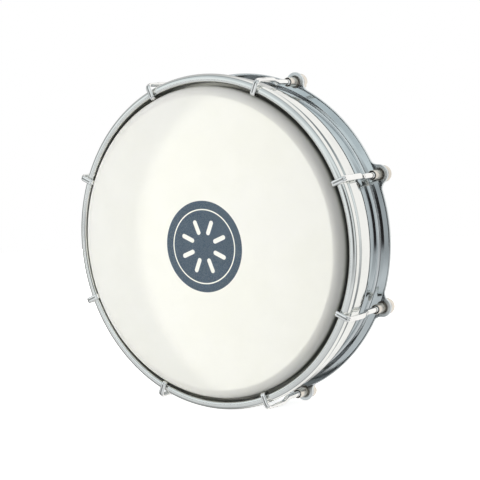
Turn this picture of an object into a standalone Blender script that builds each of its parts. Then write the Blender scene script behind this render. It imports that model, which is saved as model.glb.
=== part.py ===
"""Six inch steel tamborim: a hand frame drum with eight hooks, tuned from behind.

Units are metres, +Z is up. The drum stands upright: its axis is Y, the head faces -Y, and the
origin lies on the axis in the middle of the drum's depth. Places along the axis are stations,
counted backwards from the middle of the counter-hoop's front bead.
"""

import math

import bmesh
import bpy
from mathutils import Matrix, Vector

# Running gap between pieces that touch on the real drum.
GAP = 0.0003

# Counter-hoop: a rolled bead in front, a groove, and a straight band behind.
HOOP_RADIUS = 0.0810
BEAD_WIDTH = 0.0036
BEAD_FRONT_DEPTH = 0.0020
BEAD_BACK_DEPTH = 0.0023
GROOVE_DEPTH = 0.0020
GROOVE_START_STATION = 0.0032
GROOVE_WIDTH = 0.0012
BAND_STEP = 0.0011
BAND_SHEET = 0.0010
BAND_RISE = 0.0011
BAND_DEPTH = 0.0098

# Head: a plastic film with a rounded collar, its edge folded back into the flesh hoop.
HEAD_PROUD = 0.0050
FILM_SHEET = 0.0003
COLLAR_CORNER = 0.0032
COLLAR_TO_BEAD = 0.0022
ANCHOR_DEPTH = 0.0040

# Flesh hoop: the channel that holds the film's edge.
CHANNEL_WALL = 0.0006
CHANNEL_RIM = 0.0011
CHANNEL_FLOOR = 0.0008

# Shell: one drawn sheet with a rolled bearing edge and a rear flange.
SHELL_SHEET = 0.0012
BEARING_LIP = 0.0008
FLANGE_STATION = 0.0311
FLANGE_WIDTH = 0.0063
FLANGE_FILLET = 0.0030

# Eight ears on the flange, each a rim round its hole, run into the flange's edge by fillets.
EAR_COUNT = 8
EAR_RIM = 0.00185
EAR_FILLET = 0.0040

# Tension hooks: round rod behind, forged flat over the bead. A fill of 1 leaves square corners.
ROD_RADIUS = 0.00135
ROD_TO_BAND = 0.0006
HOOK_HALF_WIDTH = 0.00115
BODY_HALF_THICKNESS = 0.00105
HOOK_FILL = 0.6
HOOK_STAND_OFF = 0.0012
TIP_PLAY = 0.00035
TIP_STATION = 0.0019
TIP_BEND = 0.0010
SHOULDER_BEND = 0.0024
JOG_BEND = 0.0030
JOG_START_STATION = 0.0105
JOG_DEPTH = 0.0060

# Tuning nuts: a sleeve through the ear and a slotted round head behind it.
SLEEVE_WALL = 0.00065
SLEEVE_REACH = 0.0066
MOUTH_WALL = 0.00035
MOUTH_DEPTH = 0.0018
NUT_HEAD_RIM = 0.0016
NUT_HEAD_DEPTH = 0.0033
NUT_HEAD_BEVEL = 0.0006
SLOT_WIDTH = 0.0012
SLOT_DEPTH = 0.0011

# Washers under the nuts' heads, and the play of the sleeves in their ears.
WASHER_RIM = 0.0002
WASHER_SHEET = 0.0008
SLEEVE_PLAY = 0.0005

# Two points closer than this are the same.
TINY = 1e-6

# How finely round shapes are divided.
RING_STEPS = 64
SMALL_STEPS = 16
CORNER_STEPS = 3
SMOOTH_ANGLE = math.radians(50)

# Sizes worked out from those above.
EAR_STEP = 2 * math.pi / EAR_COUNT
FIRST_EAR = EAR_STEP / 2
HOOP_INNER = HOOP_RADIUS - BEAD_WIDTH
GROOVE_END_STATION = GROOVE_START_STATION + GROOVE_WIDTH
BAND_RADIUS = HOOP_RADIUS - BAND_STEP
BAND_INNER = BAND_RADIUS - BAND_SHEET
BAND_STATION = GROOVE_END_STATION + BAND_RISE
SHOULDER_STATION = BAND_STATION - BAND_RISE / 2
HOOP_REAR_STATION = BAND_STATION + BAND_DEPTH
FILM_RADIUS = HOOP_INNER - COLLAR_TO_BEAD
FILM_INNER = FILM_RADIUS - FILM_SHEET
CORNER_RADIUS = FILM_RADIUS - COLLAR_CORNER
CORNER_STATION = COLLAR_CORNER - HEAD_PROUD
CHANNEL_FRONT = SHOULDER_STATION + GAP
CHANNEL_RADIUS = BAND_INNER - GAP
ANCHOR_RADIUS = CHANNEL_RADIUS - CHANNEL_RIM - GAP
ANCHOR_END_STATION = CHANNEL_FRONT + ANCHOR_DEPTH
SHELL_RADIUS = FILM_INNER - GAP
BEARING_BEND = COLLAR_CORNER - FILM_SHEET - GAP
FLANGE_RADIUS = SHELL_RADIUS + FLANGE_WIDTH
FLANGE_REAR = FLANGE_STATION + SHELL_SHEET
TENSION_RADIUS = BAND_RADIUS + ROD_TO_BAND + ROD_RADIUS
BORE_RADIUS = ROD_RADIUS + GAP
SLEEVE_RADIUS = BORE_RADIUS + SLEEVE_WALL
MOUTH_RADIUS = SLEEVE_RADIUS - MOUTH_WALL
SLEEVE_FRONT_STATION = FLANGE_STATION - SLEEVE_REACH
EAR_HOLE_RADIUS = SLEEVE_RADIUS + SLEEVE_PLAY
EAR_RADIUS = EAR_HOLE_RADIUS + EAR_RIM
NUT_HEAD_RADIUS = SLEEVE_RADIUS + NUT_HEAD_RIM
WASHER_HOLE_RADIUS = SLEEVE_RADIUS + GAP
WASHER_RADIUS = NUT_HEAD_RADIUS + WASHER_RIM
WASHER_STATION = FLANGE_REAR + GAP
NUT_HEAD_STATION = WASHER_STATION + WASHER_SHEET + GAP
NUT_REAR_STATION = NUT_HEAD_STATION + NUT_HEAD_DEPTH
ROD_REAR_STATION = NUT_HEAD_STATION - GAP
STRAP_HALF_THICKNESS = COLLAR_TO_BEAD / 2 - TIP_PLAY
STRAP_STATION = -BEAD_FRONT_DEPTH - GAP - STRAP_HALF_THICKNESS
TIP_OUTWARD = FILM_RADIUS + COLLAR_TO_BEAD / 2 - TENSION_RADIUS
BODY_OUTWARD = HOOP_RADIUS + HOOK_STAND_OFF + BODY_HALF_THICKNESS - TENSION_RADIUS
MIDDLE_STATION = (NUT_REAR_STATION - HEAD_PROUD) / 2


def y_at(station):
    """Y of a station along the drum's axis."""
    return station - MIDDLE_STATION


def arc(centre, radius, start, end, steps):
    """Points on an arc, angles in degrees, as (across, along) pairs."""
    points = []
    for step in range(steps + 1):
        angle = math.radians(start + (end - start) * step / steps)
        points.append((centre[0] + radius * math.cos(angle), centre[1] + radius * math.sin(angle)))
    return points


def make_material(name, colour, roughness, metallic):
    """A plain finish for one kind of piece."""
    material = bpy.data.materials.new(name)
    material.use_nodes = True
    shader = material.node_tree.nodes["Principled BSDF"]
    shader.inputs["Base Color"].default_value = (*colour, 1)
    shader.inputs["Roughness"].default_value = roughness
    shader.inputs["Metallic"].default_value = metallic
    return material


def finish_mesh(bm, name):
    """Close up a bmesh, point its faces outwards and turn it into a shaded mesh."""
    bmesh.ops.remove_doubles(bm, verts=bm.verts, dist=TINY)
    bmesh.ops.recalc_face_normals(bm, faces=bm.faces)
    mesh = bpy.data.meshes.new(name)
    bm.to_mesh(mesh)
    bm.free()
    mesh.shade_smooth()
    mesh.set_sharp_from_angle(angle=SMOOTH_ANGLE)
    return mesh


def place(name, mesh, material=None, parent=None, location=(0, 0, 0), turn=0.0):
    """Put a mesh in the scene as one named piece."""
    piece = bpy.data.objects.new(name, mesh)
    bpy.context.scene.collection.objects.link(piece)
    if material is not None and not mesh.materials:
        mesh.materials.append(material)
    piece.parent = parent
    piece.location = location
    piece.rotation_euler = (0, turn, 0)
    return piece


def turned_mesh(name, profile, steps, closed):
    """Spin a profile of (radius, station) points about the Y axis."""
    bm = bmesh.new()
    corners = [bm.verts.new((0, y_at(station), radius)) for radius, station in profile]
    edges = [bm.edges.new(pair) for pair in zip(corners, corners[1:])]
    if closed:
        edges.append(bm.edges.new((corners[-1], corners[0])))
    bmesh.ops.spin(
        bm,
        geom=corners + edges,
        cent=(0, 0, 0),
        axis=(0, 1, 0),
        angle=2 * math.pi,
        steps=steps,
        use_merge=True,
    )
    return finish_mesh(bm, name)


def closed_loop(bm, points):
    """A closed loop of edges through points."""
    corners = [bm.verts.new(point) for point in points]
    return [bm.edges.new(pair) for pair in zip(corners, corners[1:] + corners[:1])]


def skin(bm, first, second):
    """Faces from one loop of edges to another."""
    bmesh.ops.bridge_loops(bm, edges=first + second)


def ear_angle(index):
    """Angle of an ear about the Y axis, from straight up towards +X."""
    return FIRST_EAR + index * EAR_STEP


def ear_place(index):
    """The point on an ear's hole axis at Y = 0."""
    angle = ear_angle(index)
    return Vector((TENSION_RADIUS * math.sin(angle), 0, TENSION_RADIUS * math.cos(angle)))


def ear_outline():
    """(angle, radius) points of one ear with the fillets that run it into the flange."""
    reach = FLANGE_RADIUS + EAR_FILLET
    spread = EAR_RADIUS + EAR_FILLET
    cosine = (reach**2 + TENSION_RADIUS**2 - spread**2) / (2 * reach * TENSION_RADIUS)
    half_angle = math.acos(cosine)
    centre = (reach * math.sin(half_angle), reach * math.cos(half_angle))
    lean = math.degrees(math.atan2(centre[1] - TENSION_RADIUS, centre[0]))
    fillet_start = 270 - math.degrees(half_angle)
    fillet = arc(centre, EAR_FILLET, fillet_start, 180 + lean, CORNER_STEPS)
    top = arc((0, TENSION_RADIUS), EAR_RADIUS, lean, 180 - lean, 2 * CORNER_STEPS)
    mirrored = [(-across, outward) for across, outward in fillet]
    points = mirrored + top[-2:0:-1] + fillet[::-1]
    return [(math.atan2(across, outward), math.hypot(across, outward)) for across, outward in points]


def flange_outline():
    """(angle, radius) points all the way round the flange's edge."""
    ear = ear_outline()
    ear_end = ear[-1][0]
    bay = EAR_STEP - 2 * ear_end
    bay_steps = CORNER_STEPS + 1
    outline = []
    for index in range(EAR_COUNT):
        middle = ear_angle(index)
        outline += [(middle + angle, radius) for angle, radius in ear[:-1]]
        for step in range(bay_steps):
            outline.append((middle + ear_end + bay * step / bay_steps, FLANGE_RADIUS))
    return outline


def shell_section(edge_radius):
    """(radius, station) points of the shell's sheet where the flange ends at a radius."""
    bend = (CORNER_RADIUS, CORNER_STATION)
    lip_radius = CORNER_RADIUS - BEARING_LIP
    fillet = (SHELL_RADIUS + FLANGE_FILLET, FLANGE_STATION - FLANGE_FILLET)
    back_bend = BEARING_BEND - SHELL_SHEET
    section = [(edge_radius, FLANGE_REAR)]
    section += arc(fillet, FLANGE_FILLET + SHELL_SHEET, 90, 180, CORNER_STEPS)
    section += arc(bend, back_bend, 360, 270, CORNER_STEPS)
    section.append((lip_radius, CORNER_STATION - back_bend))
    section.append((lip_radius, CORNER_STATION - BEARING_BEND))
    section += arc(bend, BEARING_BEND, 270, 360, CORNER_STEPS)
    section += arc(fillet, FLANGE_FILLET, 180, 90, CORNER_STEPS)
    section.append((edge_radius, FLANGE_STATION))
    return section


def make_shell(chrome):
    """The drum's shell: wall, bearing edge, flange and ears."""
    bm = bmesh.new()
    loops = []
    for angle, edge_radius in flange_outline():
        sine, cosine = math.sin(angle), math.cos(angle)
        section = shell_section(edge_radius)
        loops.append(closed_loop(bm, [(r * sine, y_at(s), r * cosine) for r, s in section]))
    for loop, after in zip(loops, loops[1:] + loops[:1]):
        skin(bm, loop, after)
    shell = place("drum_shell", finish_mesh(bm, "drum_shell"), chrome)
    cut_from(shell, make_ear_hole_cutters())
    return shell


def cut_from(piece, cutter):
    """Cut a helper's shape out of a piece."""
    cut = piece.modifiers.new(cutter.name, "BOOLEAN")
    cut.operation = "DIFFERENCE"
    cut.solver = "EXACT"
    cut.object = cutter


def make_cutter(name, bm):
    """A helper shape that is cut from others and is no piece of the drum."""
    bmesh.ops.recalc_face_normals(bm, faces=bm.faces)
    mesh = bpy.data.meshes.new(name)
    bm.to_mesh(mesh)
    bm.free()
    cutter = place(name, mesh)
    cutter.hide_render = True
    cutter.display_type = "WIRE"
    return cutter


def make_ear_hole_cutters():
    """Eight plugs, one through each ear."""
    bm = bmesh.new()
    lay_along_y = Matrix.Rotation(math.pi / 2, 3, "X")
    rise = Vector((0, y_at(FLANGE_STATION + SHELL_SHEET / 2), 0))
    for index in range(EAR_COUNT):
        plug = bmesh.ops.create_cone(
            bm,
            cap_ends=True,
            segments=SMALL_STEPS,
            radius1=EAR_HOLE_RADIUS,
            radius2=EAR_HOLE_RADIUS,
            depth=4 * SHELL_SHEET,
        )["verts"]
        bmesh.ops.rotate(bm, verts=plug, cent=(0, 0, 0), matrix=lay_along_y)
        bmesh.ops.translate(bm, verts=plug, vec=ear_place(index) + rise)
    return make_cutter("ear_hole_cutters", bm)


def make_counter_hoop(chrome):
    """The hoop that presses the flesh hoop back: bead, groove, shoulder and band."""
    bead_middle = HOOP_RADIUS - BEAD_WIDTH / 2
    groove_radius = HOOP_RADIUS - GROOVE_DEPTH
    profile = [(HOOP_INNER, SHOULDER_STATION)]
    for across, forward in arc((0, 0), 1, 180, 0, 2 * CORNER_STEPS - 2):
        profile.append((bead_middle + across * BEAD_WIDTH / 2, -forward * BEAD_FRONT_DEPTH))
    for across, backward in arc((groove_radius, 0), GROOVE_DEPTH, 30, 60, 1):
        profile.append((across, backward * BEAD_BACK_DEPTH / GROOVE_DEPTH))
    profile += [(groove_radius, GROOVE_START_STATION), (groove_radius, GROOVE_END_STATION)]
    profile += [(BAND_RADIUS, BAND_STATION), (BAND_RADIUS, HOOP_REAR_STATION)]
    profile += [(BAND_INNER, HOOP_REAR_STATION), (BAND_INNER, SHOULDER_STATION)]
    return place("counter_hoop", turned_mesh("counter_hoop", profile, RING_STEPS, True), chrome)


def make_head_film(plastic, hoop):
    """The head: playing face, rounded collar, and the edge folded into the channel."""
    corner = (CORNER_RADIUS, CORNER_STATION)
    fold_back = CHANNEL_FRONT + FILM_SHEET
    profile = [(0, -HEAD_PROUD)]
    profile += arc(corner, COLLAR_CORNER, 270, 360, CORNER_STEPS)
    profile += [(FILM_RADIUS, CHANNEL_FRONT), (ANCHOR_RADIUS, CHANNEL_FRONT)]
    profile += [(ANCHOR_RADIUS, ANCHOR_END_STATION)]
    profile += [(ANCHOR_RADIUS - FILM_SHEET, ANCHOR_END_STATION)]
    profile += [(ANCHOR_RADIUS - FILM_SHEET, fold_back), (FILM_INNER, fold_back)]
    profile += arc(corner, COLLAR_CORNER - FILM_SHEET, 360, 270, CORNER_STEPS)
    profile += [(0, FILM_SHEET - HEAD_PROUD)]
    return place("head_film", turned_mesh("head_film", profile, RING_STEPS, False), plastic, hoop)


def make_flesh_hoop(aluminium, hoop):
    """The channel round the film's edge, which the counter-hoop's shoulder presses."""
    wall_front = CHANNEL_FRONT + FILM_SHEET + GAP
    floor_front = ANCHOR_END_STATION + GAP
    floor_back = floor_front + CHANNEL_FLOOR
    profile = [(FILM_RADIUS, wall_front), (FILM_RADIUS + CHANNEL_WALL, wall_front)]
    profile += [(FILM_RADIUS + CHANNEL_WALL, floor_front)]
    profile += [(CHANNEL_RADIUS - CHANNEL_RIM, floor_front)]
    profile += [(CHANNEL_RADIUS - CHANNEL_RIM, CHANNEL_FRONT), (CHANNEL_RADIUS, CHANNEL_FRONT)]
    profile += [(CHANNEL_RADIUS, floor_back), (FILM_RADIUS, floor_back)]
    mesh = turned_mesh("flesh_hoop", profile, RING_STEPS, True)
    return place("flesh_hoop", mesh, aluminium, hoop)


def bent_path(corners):
    """Run a line through (place, bend radius, size) corners, with an arc at each bend.

    Each point comes with the direction the line has there and the size of its corner.
    """
    path = [(corners[0][0], (corners[1][0] - corners[0][0]).normalized(), corners[0][2])]
    for before, here, after in zip(corners, corners[1:], corners[2:]):
        arriving = (here[0] - before[0]).normalized()
        leaving = (after[0] - here[0]).normalized()
        half_turn = arriving.angle(leaving) / 2
        aim = (leaving - arriving).normalized()
        middle = here[0] + aim * here[1] / math.cos(half_turn)
        for step in range(CORNER_STEPS + 1):
            heading = arriving.slerp(leaving, step / CORNER_STEPS)
            inward = (aim - heading * aim.dot(heading)).normalized()
            path.append((middle - inward * here[1], heading, here[2]))
    path.append((corners[-1][0], (corners[-1][0] - corners[-2][0]).normalized(), corners[-1][2]))
    return path


def hook_mesh():
    """One tension hook about its rod's axis, outward along +Z.

    A section's size is its half width, its half thickness and how far its corners are filled.
    """
    strap = (HOOK_HALF_WIDTH, STRAP_HALF_THICKNESS, HOOK_FILL)
    body = (HOOK_HALF_WIDTH, BODY_HALF_THICKNESS, HOOK_FILL)
    octagon_half = ROD_RADIUS * math.cos(math.pi / 8)
    rod = (octagon_half, octagon_half, math.tan(math.pi / 8))
    path = bent_path(
        [
            (Vector((TIP_OUTWARD, TIP_STATION)), 0, strap),
            (Vector((TIP_OUTWARD, STRAP_STATION)), TIP_BEND, strap),
            (Vector((BODY_OUTWARD, STRAP_STATION)), SHOULDER_BEND, strap),
            (Vector((BODY_OUTWARD, JOG_START_STATION)), JOG_BEND, body),
            (Vector((0, JOG_START_STATION + JOG_DEPTH)), JOG_BEND, rod),
            (Vector((0, ROD_REAR_STATION)), 0, rod),
        ]
    )
    bm = bmesh.new()
    loops = []
    for point, heading, (half_width, half_thickness, fill) in path:
        aside = Vector((heading.y, -heading.x))
        corner = [(1, fill), (fill, 1), (-fill, 1), (-1, fill)]
        loop = []
        for across, through in corner + [(-a, -t) for a, t in corner]:
            spot = point + aside * through * half_thickness
            loop.append((across * half_width, y_at(spot.y), spot.x))
        loops.append(closed_loop(bm, loop))
    for first, second in zip(loops, loops[1:]):
        skin(bm, first, second)
    bmesh.ops.edgeloop_fill(bm, edges=loops[0] + loops[-1])
    return finish_mesh(bm, "tension_hook")


def nut_mesh():
    """One tuning nut about its own axis: blind bore, open mouth, sleeve and round head."""
    mouth_end = SLEEVE_FRONT_STATION + MOUTH_DEPTH
    bevel_start = NUT_REAR_STATION - NUT_HEAD_BEVEL
    profile = [(0, NUT_HEAD_STATION), (BORE_RADIUS, NUT_HEAD_STATION)]
    profile += [(BORE_RADIUS, mouth_end), (MOUTH_RADIUS, mouth_end)]
    profile += [(MOUTH_RADIUS, SLEEVE_FRONT_STATION), (SLEEVE_RADIUS, SLEEVE_FRONT_STATION)]
    profile += [(SLEEVE_RADIUS, NUT_HEAD_STATION), (NUT_HEAD_RADIUS, NUT_HEAD_STATION)]
    profile += [(NUT_HEAD_RADIUS, bevel_start)]
    profile += [(NUT_HEAD_RADIUS - NUT_HEAD_BEVEL, NUT_REAR_STATION), (0, NUT_REAR_STATION)]
    return turned_mesh("tuning_nut", profile, SMALL_STEPS, False)


def make_slot_cutters():
    """One bar across each nut's head."""
    bm = bmesh.new()
    for index in range(EAR_COUNT):
        bar = bmesh.ops.create_cube(bm, size=1)["verts"]
        bmesh.ops.scale(bm, verts=bar, vec=(3 * NUT_HEAD_RADIUS, 2 * SLOT_DEPTH, SLOT_WIDTH))
        bmesh.ops.translate(bm, verts=bar, vec=(0, y_at(NUT_REAR_STATION), TENSION_RADIUS))
        round_the_drum = Matrix.Rotation(ear_angle(index), 3, "Y")
        bmesh.ops.rotate(bm, verts=bar, cent=(0, 0, 0), matrix=round_the_drum)
    return make_cutter("slot_cutters", bm)


def washer_mesh():
    """One flat washer about its own axis."""
    back = WASHER_STATION + WASHER_SHEET
    profile = [(WASHER_HOLE_RADIUS, WASHER_STATION), (WASHER_RADIUS, WASHER_STATION)]
    profile += [(WASHER_RADIUS, back), (WASHER_HOLE_RADIUS, back)]
    return turned_mesh("nut_washer", profile, SMALL_STEPS, True)


def make_tension_fittings(shell, hoop, chrome, nickel, steel):
    """A hook, a nut and a washer at each ear."""
    hook, nut, washer = hook_mesh(), nut_mesh(), washer_mesh()
    slots = make_slot_cutters()
    for index in range(EAR_COUNT):
        spot, angle, number = ear_place(index), ear_angle(index), index + 1
        place(f"tension_hook_{number}", hook, chrome, hoop, spot, angle)
        tuning_nut = place(f"tuning_nut_{number}", nut, nickel, shell, spot, angle)
        cut_from(tuning_nut, slots)
        place(f"nut_washer_{number}", washer, steel, shell, spot, angle)


def build():
    """Make the whole drum."""
    for old in list(bpy.data.objects):
        bpy.data.objects.remove(old, do_unlink=True)
    shell = make_shell(make_material("shell_chrome", (0.80, 0.82, 0.84), 0.08, 1.0))
    hoop = make_counter_hoop(make_material("hoop_chrome", (0.80, 0.82, 0.84), 0.08, 1.0))
    make_head_film(make_material("head_plastic", (0.92, 0.92, 0.88), 0.35, 0.0), hoop)
    make_flesh_hoop(make_material("flesh_hoop_aluminium", (0.75, 0.76, 0.78), 0.4, 1.0), hoop)
    hook_chrome = make_material("hook_chrome", (0.78, 0.79, 0.80), 0.12, 1.0)
    nickel = make_material("nut_nickel", (0.72, 0.68, 0.60), 0.22, 1.0)
    steel = make_material("washer_steel", (0.62, 0.63, 0.64), 0.35, 1.0)
    make_tension_fittings(shell, hoop, hook_chrome, nickel, steel)


build()
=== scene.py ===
"""Dress a six inch steel tamborim and stand it in a white studio.

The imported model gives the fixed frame: the drum's axis is Y, the head faces -Y, +Z is up. Places
along the axis are stations, counted backwards from the middle of the counter-hoop's bead.
"""

import logging
import math
from dataclasses import dataclass
from enum import Enum
from functools import partial
from typing import Callable, Optional, Sequence, Union

import bmesh
import bpy
from mathutils import Matrix, Vector


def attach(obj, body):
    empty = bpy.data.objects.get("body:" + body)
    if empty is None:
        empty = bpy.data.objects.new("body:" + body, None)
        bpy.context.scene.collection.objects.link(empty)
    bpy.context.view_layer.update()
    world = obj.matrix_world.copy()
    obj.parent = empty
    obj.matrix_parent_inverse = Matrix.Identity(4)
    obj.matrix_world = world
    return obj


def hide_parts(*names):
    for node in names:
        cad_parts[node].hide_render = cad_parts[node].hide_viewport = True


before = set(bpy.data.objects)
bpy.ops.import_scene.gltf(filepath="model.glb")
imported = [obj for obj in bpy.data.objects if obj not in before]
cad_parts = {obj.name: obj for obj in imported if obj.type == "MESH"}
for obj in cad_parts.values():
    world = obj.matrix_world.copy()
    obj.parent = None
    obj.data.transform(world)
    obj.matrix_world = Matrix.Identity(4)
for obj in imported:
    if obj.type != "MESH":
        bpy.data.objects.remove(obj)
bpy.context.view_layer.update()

LOG = logging.getLogger("tamborim")

Shape = bmesh.types.BMesh
Edges = list[bmesh.types.BMEdge]
Mesh = bpy.types.Mesh
Face = bpy.types.MeshPolygon
Material = bpy.types.Material
Socket = bpy.types.NodeSocket
Value = Union[Socket, float, Sequence[float]]
Inputs = dict[Union[int, str], Value]
Colour = tuple[float, float, float]
Four = tuple[float, float, float, float]

# Clear gap between pieces that touch on the real drum.
GAP = 0.0003
# Length of the narrow strip that keeps a flat face flat beside a rounded corner.
HUG = 0.00006
# Points closer than this are merged.
MERGE = 1e-6
# Edges that turn by more degrees than this stay crisp.
CRISP = 40.0
WHITE = (1.0, 1.0, 1.0)


class Slot(Enum):
    """The record's material slots."""

    SHELL = "shell_chrome"
    HOOP = "hoop_chrome"
    HEAD = "head_plastic"
    FLESH_HOOP = "flesh_hoop_aluminium"
    HOOK = "hook_chrome"
    NUT = "nut_nickel"
    WASHER = "washer_steel"


@dataclass(frozen=True)
class Drum:
    """Sizes that several pieces of the drum share.

    Attributes:
        middle_station: Station of the frame's origin.
        hoop_radius: Outside of the counter-hoop's bead.
        bead_width: Width of the bead seen from the front.
        film_radius: Outside of the head's collar.
        tension_radius: Distance of the hooks' rods from the axis.
        flange_station: Front face of the rear flange.
        sheet: Thickness of the shell.
        ear_count: Number of ears, hooks and nuts.
        rod_radius: Radius of a hook's rod before its thread is rolled.
        sleeve_radius: Outside of a nut's sleeve.
    """

    middle_station: float = 0.0160
    hoop_radius: float = 0.0810
    bead_width: float = 0.0041
    film_radius: float = 0.0752
    tension_radius: float = 0.08185
    flange_station: float = 0.0311
    sheet: float = 0.0012
    ear_count: int = 8
    rod_radius: float = 0.00135
    sleeve_radius: float = 0.0023

    @property
    def flange_rear(self) -> float:
        """Station of the flange's rear face."""
        return self.flange_station + self.sheet

    @property
    def nut_head_station(self) -> float:
        """Station of the front of a nut's head, behind its washer."""
        return self.flange_rear + 2 * GAP + 0.0008

    def y_at(self, station: float) -> float:
        """Y of a station."""
        return station - self.middle_station

    def ear_angle(self, index: int) -> float:
        """Angle of an ear about Y, from straight up towards +X."""
        return math.radians(360 / self.ear_count * (index + 0.5))

    def ear_matrix(self, index: int) -> Matrix:
        """Place of a piece modelled about a rod's axis, its outward side along +Z."""
        lift = Matrix.Translation((0, 0, self.tension_radius))
        return Matrix.Rotation(self.ear_angle(index), 4, "Y") @ lift


DRUM = Drum()


@dataclass(frozen=True)
class Corner:
    """One corner of an outline in a plane through the axis.

    Attributes:
        radius: Distance from the turning axis.
        station: Place along the axis.
        bend: Radius that the corner is rounded to.
        steps: Facets of the rounding.
    """

    radius: float
    station: float
    bend: float = 0.0
    steps: int = 5

    @property
    def spot(self) -> Vector:
        """The sharp corner's place."""
        return Vector((self.radius, self.station))


def bend_round(
    before: Vector, here: Vector, after: Vector, bend: float, steps: int
) -> tuple[float, list[tuple[Vector, Vector]]]:
    """Round the corner between two straight runs.

    Args:
        before: A point on the run that arrives.
        here: The sharp corner.
        after: A point on the run that leaves.
        bend: Radius of the rounding.
        steps: Its facets.

    Returns:
        How far from the corner the bend starts, and the points along it with their headings.
    """
    arriving = (here - before).normalized()
    leaving = (after - here).normalized()
    half_turn = arriving.angle(leaving) / 2
    aim = (leaving - arriving).normalized()
    middle = here + aim * bend / math.cos(half_turn)
    points = []
    for step in range(steps + 1):
        heading = arriving.slerp(leaving, step / steps)
        inward = (aim - heading * aim.dot(heading)).normalized()
        points.append((middle - inward * bend, heading))
    return bend * math.tan(half_turn), points


def rounded(corners: Sequence[Corner], closed: bool) -> list[Vector]:
    """Round the corners of an outline.

    Args:
        corners: The outline's sharp corners in order.
        closed: Whether the last corner joins the first.

    Returns:
        (radius, station) points, with a close pair at each end of a rounding.
    """
    points: list[Vector] = []
    count = len(corners)
    for index, corner in enumerate(corners):
        is_end = not closed and index in (0, count - 1)
        if is_end or corner.bend == 0:
            points.append(corner.spot)
            continue
        before, after = corners[index - 1].spot, corners[(index + 1) % count].spot
        reach, bend = bend_round(before, corner.spot, after, corner.bend, corner.steps)
        points.append(corner.spot - bend[0][1] * (reach + HUG))
        points += [point for point, _ in bend]
        points.append(corner.spot + bend[-1][1] * (reach + HUG))
    return points


def turned(corners: Sequence[Corner], steps: int, closed: bool) -> Shape:
    """Turn a rounded outline about the Y axis.

    Args:
        corners: The outline's corners as radius and station.
        steps: Facets round the axis.
        closed: Whether the outline is a closed ring rather than one that ends on the axis.

    Returns:
        The turned solid.
    """
    bm = bmesh.new()
    line = [bm.verts.new((0, DRUM.y_at(p.y), p.x)) for p in rounded(corners, closed)]
    edges = [bm.edges.new(pair) for pair in zip(line, line[1:])]
    if closed:
        edges.append(bm.edges.new((line[-1], line[0])))
    bmesh.ops.spin(
        bm, geom=line + edges, cent=(0, 0, 0), axis=(0, 1, 0), angle=2 * math.pi,
        steps=steps, use_merge=True,
    )
    return bm


def ring(bm: Shape, points: Sequence[Vector]) -> Edges:
    """Join points into a closed ring of edges."""
    corners = [bm.verts.new(point) for point in points]
    return [bm.edges.new(pair) for pair in zip(corners, corners[1:] + corners[:1])]


def smooth(mesh: Mesh, crisp: float = CRISP) -> Mesh:
    """Shade a mesh smooth but for its crisp edges."""
    mesh.shade_smooth()
    mesh.set_sharp_from_angle(angle=math.radians(crisp))
    return mesh


def as_mesh(bm: Shape, name: str, crisp: float = CRISP) -> Mesh:
    """Close a bmesh up, point its faces outwards and shade it smooth.

    Args:
        bm: The shape, which is freed.
        name: Name of the new mesh.
        crisp: Edges that turn by more degrees than this stay crisp.

    Returns:
        The finished mesh.
    """
    bmesh.ops.remove_doubles(bm, verts=bm.verts, dist=MERGE)
    bmesh.ops.recalc_face_normals(bm, faces=bm.faces)
    mesh = bpy.data.meshes.new(name)
    bm.to_mesh(mesh)
    bm.free()
    return smooth(mesh, crisp)


def cut(bm: Shape, cutter: Shape, name: str) -> Mesh:
    """Cut one shape out of another.

    Args:
        bm: The shape that loses the cutter's space.
        cutter: The shape to take away.
        name: Name of the resulting mesh.

    Returns:
        The cut mesh.
    """
    holders = []
    for label, shape in ((name, bm), (f"{name}_cutter", cutter)):
        holder = bpy.data.objects.new(label, as_mesh(shape, label))
        bpy.context.scene.collection.objects.link(holder)
        holders.append(holder)
    boolean = holders[0].modifiers.new("cut", "BOOLEAN")
    boolean.operation = "DIFFERENCE"
    boolean.solver = "EXACT"
    boolean.object = holders[1]
    bpy.context.view_layer.update()
    evaluated = holders[0].evaluated_get(bpy.context.evaluated_depsgraph_get())
    mesh = bpy.data.meshes.new_from_object(evaluated)
    for holder in holders:
        bpy.data.objects.remove(holder, do_unlink=True)
    mesh.name = name
    return smooth(mesh)


def dress(name: str, mesh: Mesh, finishes: Sequence[Material], body: str, node: str) -> None:
    """Put a piece in the scene in place of its CAD node.

    Args:
        name: Name of the piece.
        mesh: Its mesh, in the frame's own place.
        finishes: Its finish, and after it the finishes of its recesses.
        body: The moving body it rides on.
        node: The CAD node it stands for.
    """
    piece = bpy.data.objects.new(name, mesh)
    bpy.context.scene.collection.objects.link(piece)
    for finish in finishes:
        mesh.materials.append(finish)
    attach(piece, body)
    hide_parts(node)
    LOG.info("%s stands for %s with %d faces", name, node, len(mesh.polygons))


def dress_each(
    name: str, shape: Mesh, finishes: Sequence[Material], body: str, node: str
) -> None:
    """Dress one copy of a piece at each ear.

    Args:
        name: Name of the pieces, before their number.
        shape: One piece, modelled about its rod's axis.
        finishes: Their finishes.
        body: Name of the body, with {} for the number where each rides on its own.
        node: Name of the CAD nodes, with {} for the number.
    """
    for index in range(DRUM.ear_count):
        mesh = shape.copy()
        mesh.transform(DRUM.ear_matrix(index))
        number = index + 1
        dress(f"{name}_{number}", mesh, finishes, body.format(number), node.format(number))


def refinish(mesh: Mesh, finish: int, is_there: Callable[[Face], bool]) -> None:
    """Give another of the piece's finishes to some of its faces."""
    for face in mesh.polygons:
        if is_there(face):
            face.material_index = finish


def from_axis(spot: Vector) -> float:
    """Distance of a place from the Y axis."""
    return math.hypot(spot.x, spot.z)


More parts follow.
